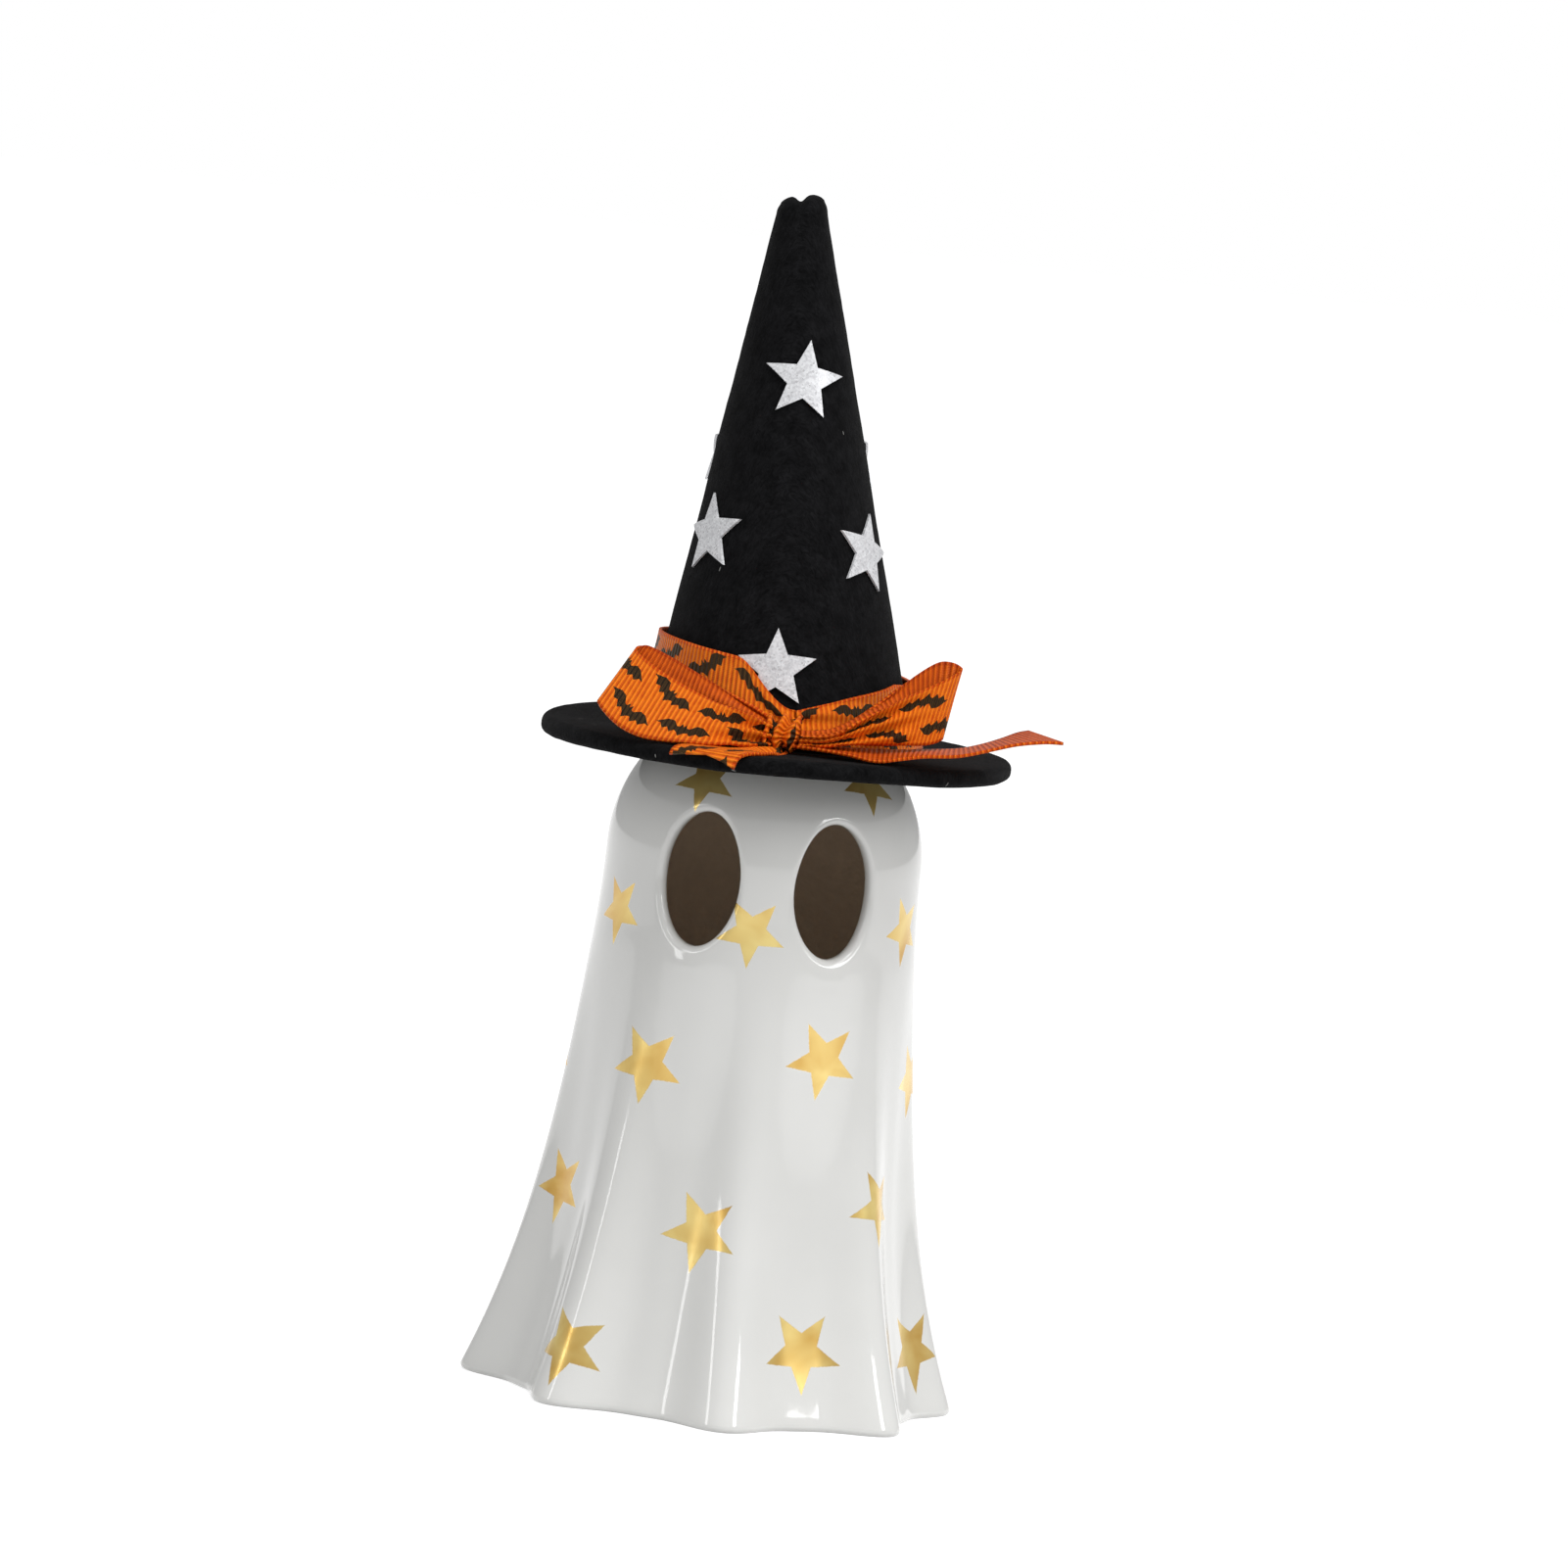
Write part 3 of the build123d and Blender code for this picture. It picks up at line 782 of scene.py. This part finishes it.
def bend_ribbon(low_edge, high_edge, columns, pleats, deepest, notch=0.0):
    """Bends a ribbon so that its edges follow two lines, in millimetres from the middle of the
    brim's top. Where the lines come closer than its width, it gathers into pleats, which run
    out where it is nearly at full width."""
    low_edge = [Vector(point) / 1000 + Vector((0, 0, brim_top)) for point in low_edge]
    high_edge = [Vector(point) / 1000 + Vector((0, 0, brim_top)) for point in high_edge]
    lengths = [0.0]
    last = (low_edge[0] + high_edge[0]) / 2
    for station in range(1, course_stations + 1):
        share = station / course_stations
        middle = (along(low_edge, share) + along(high_edge, share)) / 2
        lengths.append(lengths[-1] + (middle - last).length)
        last = middle
    strip = cut_ribbon(lengths[-1], columns, notch)
    for vert in strip.verts:
        station = max(1, min(bisect_left(lengths, vert.co.x), course_stations))
        passed = lengths[station - 1]
        part = (vert.co.x - passed) / (lengths[station] - passed)
        share = min((station - 1 + part) / course_stations, 1.0)
        across = vert.co.y / ribbon_width + 0.5
        low = along(low_edge, share)
        high = along(high_edge, share)
        further = min(share + 0.01, 1)
        nearer = max(share - 0.01, 0)
        ahead = along(low_edge, further) + along(high_edge, further)
        behind = along(low_edge, nearer) + along(high_edge, nearer)
        outward = (ahead - behind).cross(high - low).normalized()
        width = (high - low).length
        slack = max(ribbon_width / width - 1, 0.0)
        swell = min(width / (pi * pleats) * sqrt(slack), deepest)
        swell *= min(max((flat_from - width / ribbon_width) / flat_ease, 0.0), 1.0)
        shift = 3 * noise.noise(Vector((share * 4, across, pleats)))
        wave = sin(across * 2 * pi * pleats + shift)
        vert.co = low.lerp(high, across) + outward * swell * wave
    return strip, lengths[-1]


left_loop_low = [
    (-1.0, -20.4, 1.0), (-6.0, -20.5, 0.9), (-12.0, -20.2, 1.1), (-18.2, -19.3, 2.4),
    (-22.6, -19.2, 3.8), (-23.8, -20.5, 3.9), (-21.3, -22.5, 1.7), (-18.2, -24.0, 0.6),
    (-14.4, -25.4, 0.5), (-10.0, -25.7, 0.5), (-5.5, -24.6, 0.5), (-1.8, -22.6, 0.5),
]
left_loop_high = [
    (-1.0, -20.2, 3.9), (-5.2, -19.2, 5.9), (-10.4, -17.0, 7.9), (-15.0, -15.2, 9.9),
    (-18.3, -14.6, 11.0), (-19.6, -16.2, 10.7), (-17.5, -18.0, 9.2), (-14.5, -19.4, 7.7),
    (-11.2, -20.5, 6.4), (-8.0, -21.2, 5.2), (-4.8, -21.8, 4.2), (-1.8, -22.1, 3.6),
]
right_loop_low = [
    (1.4, -20.5, 1.2), (6.0, -20.6, 1.7), (11.0, -20.2, 2.3), (15.5, -19.3, 2.9),
    (18.8, -18.5, 3.6), (20.0, -19.1, 3.7), (18.2, -20.3, 2.9), (13.9, -21.4, 2.5),
    (8.6, -22.2, 2.0), (4.7, -22.3, 1.6), (1.8, -22.2, 1.2),
]
right_loop_high = [
    (1.4, -20.4, 2.8), (6.0, -20.2, 3.6), (10.5, -18.4, 6.7), (14.5, -16.2, 9.9),
    (18.7, -14.6, 12.8), (21.6, -15.8, 12.6), (20.1, -17.5, 11.4), (14.8, -19.5, 8.5),
    (10.0, -21.1, 5.4), (6.2, -22.1, 3.1), (1.8, -22.1, 2.6),
]
for name, node, low_edge, high_edge in (
    ("bow_loop_ribbon_left", "bow_loop_left", left_loop_low, left_loop_high),
    ("bow_loop_ribbon_right", "bow_loop_right", right_loop_high, right_loop_low),
):
    loop, loop_length = bend_ribbon(
        low_edge, high_edge, loop_columns, loop_pleats, loop_pleat_depth
    )
    sew_ribbon(name, loop, node)


# Bow knot. The ribbon's own tight turn over the middle of the bow, crushed to less than half of
# its width, with creases that run round it.
knot_columns = 60
knot_pleats = 2.5
knot_pleat_depth = 0.00065
knot_right = [
    (1.5, -19.3, 2.5), (1.7, -19.5, 3.7), (1.9, -20.6, 4.5), (1.9, -22.0, 3.9),
    (1.7, -22.8, 2.5), (1.5, -22.6, 1.2), (1.4, -21.4, 0.7), (1.2, -19.9, 0.7),
    (1.2, -19.3, 1.2),
]
knot_left = [
    (-2.2, -19.3, 2.4), (-2.3, -19.5, 3.6), (-2.4, -20.6, 4.2), (-2.5, -22.0, 3.6),
    (-2.7, -22.7, 2.2), (-2.8, -22.5, 1.1), (-2.7, -21.4, 0.7), (-2.5, -19.9, 0.7),
    (-2.4, -19.3, 1.2),
]
knot, knot_length = bend_ribbon(
    knot_left, knot_right, knot_columns, knot_pleats, knot_pleat_depth
)
sew_ribbon("bow_knot_ribbon", knot, "bow_knot")


# Bow tails. The ribbon's two ends. The left one lies on the brim and hangs over its front edge,
# with a notched end. The right one lies along the brim, shows its plain side, and springs up
# and out past the edge.
tail_pleats = 2
left_tail_columns = 70
left_tail_pleat_depth = 0.0004
left_tail_notch = 0.0012
left_tail_inner = [
    (0.3, -22.0, 0.5), (-0.6, -24.6, 0.45), (-2.4, -27.4, 0.45), (-4.7, -29.7, 0.4),
    (-5.8, -30.6, -0.3), (-6.3, -30.9, -1.7),
]
left_tail_outer = [
    (-2.2, -20.6, 0.5), (-6.0, -22.4, 0.45), (-10.2, -24.6, 0.45), (-12.9, -26.5, 0.4),
    (-14.0, -27.6, 0.0), (-14.4, -28.1, -0.8),
]
left_tail, left_tail_length = bend_ribbon(
    left_tail_outer, left_tail_inner, left_tail_columns, tail_pleats, left_tail_pleat_depth,
    left_tail_notch,
)
sew_ribbon(
    "bow_tail_ribbon_left", left_tail, "bow_tail_left",
)
right_tail_columns = 90
right_tail_pleat_depth = 0.0001
right_tail_front = [
    (0.5, -22.0, 0.8), (4.0, -23.8, 0.9), (8.0, -25.2, 0.8), (11.5, -26.2, 0.5),
    (14.6, -26.3, 1.1), (17.5, -26.1, 1.7), (21.7, -26.0, 2.2), (25.3, -25.5, 3.2),
    (28.9, -25.0, 4.3), (32.4, -24.4, 4.9), (34.75, -24.0, 5.0),
]
right_tail_back = [
    (0.5, -20.6, 0.8), (4.5, -19.2, 0.9), (8.5, -18.4, 1.0), (12.0, -17.8, 1.1),
    (15.2, -17.4, 1.3), (18.4, -17.2, 1.7), (22.2, -17.0, 2.2), (25.0, -16.7, 3.0),
    (27.5, -16.4, 4.0), (29.4, -16.2, 4.9), (30.8, -16.0, 5.3),
]
right_tail, right_tail_length = bend_ribbon(
    right_tail_back, right_tail_front, right_tail_columns, tail_pleats, right_tail_pleat_depth
)
sew_ribbon(
    "bow_tail_ribbon_right", right_tail, "bow_tail_right",
)


# Floor. A plain pale sheet that the figure stands on. It shows white to the camera and in the
# glaze, and it keeps the figure's shadow.
floor_half = 3.0
floor_glow = 0.73
floor_form = bmesh.new()
bmesh.ops.create_grid(floor_form, x_segments=1, y_segments=1, size=floor_half)
pale_floor, tree, surface = new_finish("pale_floor")
set_inputs(tree, surface, {"Base Color": (0.6, 0.6, 0.6, 1), "Roughness": 0.9})
ray = put(tree, "LightPath")
seen = work_out(tree, "MAXIMUM", ray.outputs["Is Camera Ray"], ray.outputs["Is Glossy Ray"])
glow_strength = work_out(tree, "MULTIPLY", seen, floor_glow)
glow = put(tree, "Emission", {"Color": (1, 1, 1, 1), "Strength": glow_strength})
both = put(tree, "AddShader", {0: surface.outputs[0], 1: glow.outputs[0]})
set_inputs(tree, tree.nodes["Material Output"], {"Surface": both.outputs[0]})
floor = make_piece("pale_floor", floor_form, pale_floor)


# Light. A bright room of even light, with a softbox high on the right, a tall narrow strip on
# the left and a large softbox overhead. The room itself shows white to the camera.
room_light = 0.42
room_seen = 1.0
room = bpy.data.worlds.new("room")
room.use_nodes = True
bpy.context.scene.world = room
tree = room.node_tree
ray = put(tree, "LightPath")
room_mix = {0: ray.outputs["Is Camera Ray"], 2: room_light, 3: room_seen}
room_strength = put(tree, "Mix", room_mix).outputs[0]
backdrop = {"Strength": room_strength, "Color": (1, 1, 1, 1)}
set_inputs(tree, tree.nodes["Background"], backdrop)
for name, spot, aim, width, height, power in (
    ("softbox_right", (0.68, -0.52, 0.56), (0, 0, 0.075), 0.18, 0.50, 2.4),
    ("strip_left", (-0.71, -0.51, 0.46), (0, 0, 0.06), 0.09, 0.75, 1.0),
    ("softbox_above", (0.40, -0.62, 1.85), (0, 0, 0.075), 1.2, 0.9, 22.0),
):
    lamp = bpy.data.lights.new(name, "AREA")
    lamp.shape = "RECTANGLE"
    lamp.size = width
    lamp.size_y = height
    lamp.energy = power
    stand = bpy.data.objects.new(name, lamp)
    stand.location = spot
    stand.rotation_euler = (Vector(spot) - Vector(aim)).to_track_quat("Z", "Y").to_euler()
    bpy.context.scene.collection.objects.link(stand)
bpy.context.scene.view_settings.view_transform = "Standard"


# Camera. A long lens 1.3 m away, a little above the figure and to its left. It is held at a
# tilt, so that the figure leans to the right in the picture.
camera_turn = radians(-2.4)
camera_rise = radians(6.03)
camera_tilt = radians(6.3)
camera_aim = Vector((0, 0, 0.075))
camera_distance = 1.3
picture_pixels = 1601
pixels_per_metre = 8000
pixels_right = 15.5
pixels_up = 30.3
back = Vector(
    (sin(camera_turn) * cos(camera_rise), -cos(camera_turn) * cos(camera_rise), sin(camera_rise))
)
right = Vector((cos(camera_turn), sin(camera_turn), 0))
up = back.cross(right)
camera_right = right * cos(camera_tilt) + up * sin(camera_tilt)
camera_up = up * cos(camera_tilt) - right * sin(camera_tilt)
camera = bpy.data.cameras.new("camera")
camera.sensor_width = 36
camera.lens = 36 * camera_distance / (picture_pixels / pixels_per_metre)
camera.shift_x = pixels_right / picture_pixels
camera.shift_y = pixels_up / picture_pixels
camera.clip_start = 0.05
viewer = bpy.data.objects.new("camera", camera)
camera_axes = Matrix((camera_right, camera_up, back)).transposed().to_4x4()
viewer.matrix_world = Matrix.Translation(camera_aim + back * camera_distance) @ camera_axes
bpy.context.scene.collection.objects.link(viewer)
bpy.context.scene.camera = viewer
